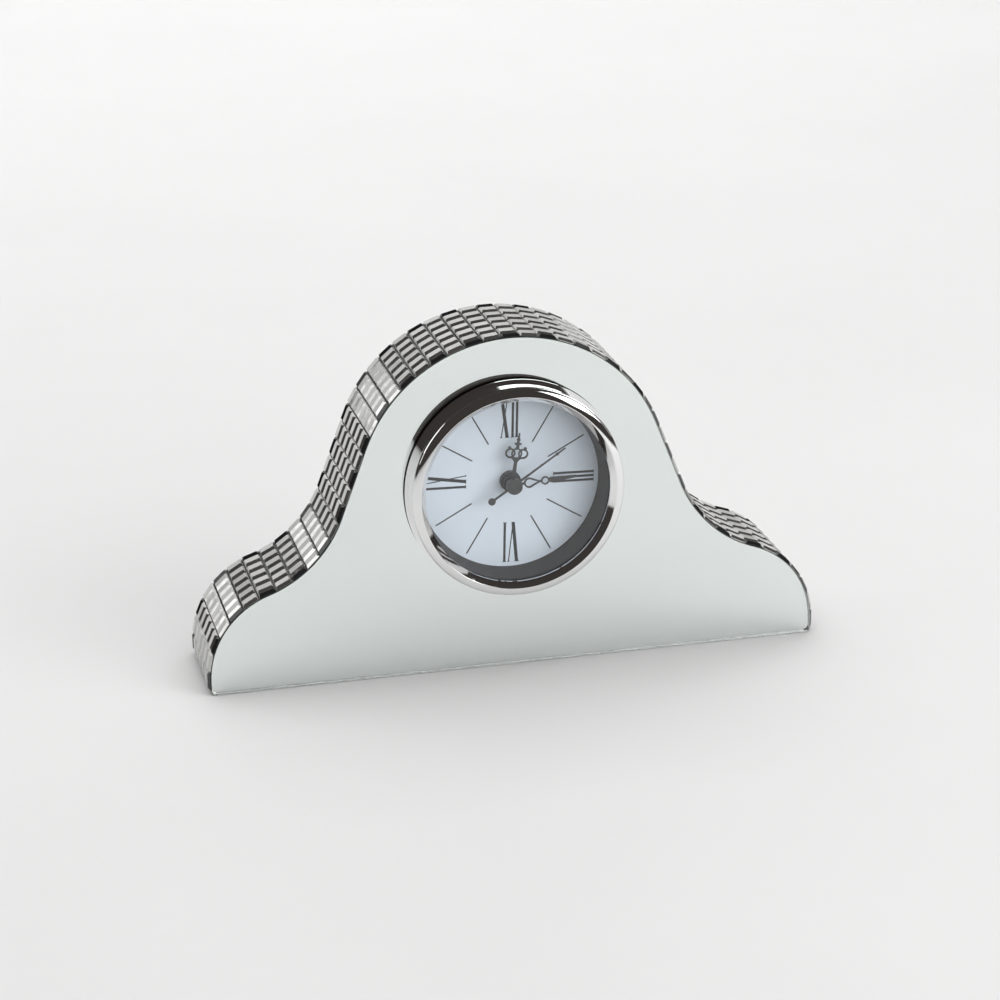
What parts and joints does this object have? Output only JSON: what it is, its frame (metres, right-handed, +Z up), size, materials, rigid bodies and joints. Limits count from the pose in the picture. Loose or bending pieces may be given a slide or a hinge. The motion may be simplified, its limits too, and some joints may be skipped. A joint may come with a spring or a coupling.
{
  "type": "mirror mantel clock",
  "caption": "Tambour mantel clock with a mirror front, a bevelled silver mosaic rim, and a push-in quartz clock with ornate hands behind a chrome bezel.",
  "frame": {"origin": "middle of the felt under the base, on the surface the clock stands on", "axes": "+Z up, -Y out of the dial towards the viewer, +X to the viewer's right"},
  "size_m": [0.3032, 0.0699, 0.167],
  "materials": {
    "mirror": "silvered glass with a ground edge",
    "case_board": "black painted fibreboard",
    "batten": "planed softwood",
    "screw": "zinc plated",
    "felt": "felt",
    "mosaic": "silvered bevelled glass",
    "mosaic_dark": "black glass",
    "chrome": "polished plating",
    "lens": "clear flat glass",
    "ring": "satin dark grey",
    "dial": "pale printed lacquer",
    "print": "dark grey ink",
    "black_plastic": "fine moulded texture",
    "rubber": "soft",
    "brass": "spring strip",
    "dark_metal": "blackened",
    "gear_plastic": "natural acetal",
    "iron": "bare lamination",
    "magnet": "bonded magnet",
    "copper": "enamelled wire",
    "circuit": "solder resist",
    "epoxy": "cast drop",
    "battery": "plain sleeve",
    "hand": "dark grey lacquer"
  },
  "bodies": {
    "case": {"front_mirror": "mirror", "front_board": "case_board", "case_rim": "case_board", "base_board": "case_board", "back_board": "case_board", "case_battens": "batten", "back_screws": "screw", "felt_base": "felt", "mosaic_left": "mosaic", "mosaic_dome": "mosaic", "mosaic_right": "mosaic", "mosaic_half_chips": "mosaic_dark", "bezel": "chrome", "lens": "lens", "inner_ring": "ring", "dial": "dial", "dial_print": "print", "clock_can": "black_plastic", "movement_front": "black_plastic", "movement_rear": "black_plastic", "grip_band": "rubber", "contact_positive": "brass", "contact_negative": "brass", "neck_washer": "dark_metal", "fixing_nut": "dark_metal", "gear_plate": "gear_plastic", "coil_bobbin": "gear_plastic", "stator": "iron", "coil_core": "iron", "quartz_crystal": "iron", "coil_winding": "copper", "circuit_board": "circuit", "circuit_chip": "epoxy", "battery": "battery"},
    "seconds": {"seconds_wheel": "gear_plastic", "second_hand": "hand"},
    "rotor": {"rotor": "magnet"},
    "intermediate": {"intermediate_wheel": "gear_plastic"},
    "third": {"third_wheel": "gear_plastic"},
    "centre": {"centre_wheel": "gear_plastic"},
    "minutes": {"cannon_pinion": "gear_plastic", "minute_hand": "hand"},
    "motion_wheel": {"minute_wheel": "gear_plastic"},
    "hours": {"hour_wheel": "gear_plastic", "hour_hand": "hand"},
    "setting": {"setting_shaft": "gear_plastic", "setting_knob": "black_plastic"}
  },
  "joints": [
    {"name": "second_hand_turn", "type": "hinge", "parent": "case", "child": "seconds", "pos_m": [0, 0, 0.0917], "axis": [0, 1, 0], "continuous": true},
    {"name": "rotor_turn", "type": "hinge", "parent": "case", "child": "rotor", "pos_m": [-0.00946, 0, 0.10109], "axis": [0, 1, 0], "continuous": true},
    {"name": "intermediate_wheel_turn", "type": "hinge", "parent": "case", "child": "intermediate", "pos_m": [-0.00606, 0, 0.0952], "axis": [0, 1, 0], "continuous": true},
    {"name": "third_wheel_turn", "type": "hinge", "parent": "case", "child": "third", "pos_m": [0.00636, 0, 0.09806], "axis": [0, 1, 0], "continuous": true},
    {"name": "centre_wheel_turn", "type": "hinge", "parent": "case", "child": "centre", "pos_m": [0, 0, 0.0917], "axis": [0, 1, 0], "continuous": true},
    {"name": "minute_hand_turn", "type": "hinge", "parent": "case", "child": "minutes", "pos_m": [0, 0, 0.0917], "axis": [0, 1, 0], "continuous": true},
    {"name": "minute_wheel_turn", "type": "hinge", "parent": "case", "child": "motion_wheel", "pos_m": [-0.008, 0, 0.0917], "axis": [0, 1, 0], "continuous": true},
    {"name": "hour_hand_turn", "type": "hinge", "parent": "case", "child": "hours", "pos_m": [0, 0, 0.0917], "axis": [0, 1, 0], "continuous": true},
    {"name": "setting_knob_turn", "type": "hinge", "parent": "case", "child": "setting", "pos_m": [-0.01552, 0, 0.08896], "axis": [0, 1, 0], "continuous": true}
  ],
  "couplings": [
    {"joint": "rotor_turn", "follows": "second_hand_turn", "ratio": 30},
    {"joint": "intermediate_wheel_turn", "follows": "second_hand_turn", "ratio": -4},
    {"joint": "third_wheel_turn", "follows": "second_hand_turn", "ratio": -0.13333},
    {"joint": "centre_wheel_turn", "follows": "second_hand_turn", "ratio": 0.016667},
    {"joint": "minute_wheel_turn", "follows": "minute_hand_turn", "ratio": -0.33333},
    {"joint": "hour_hand_turn", "follows": "minute_hand_turn", "ratio": 0.083333},
    {"joint": "setting_knob_turn", "follows": "minute_hand_turn", "ratio": 1}
  ]
}
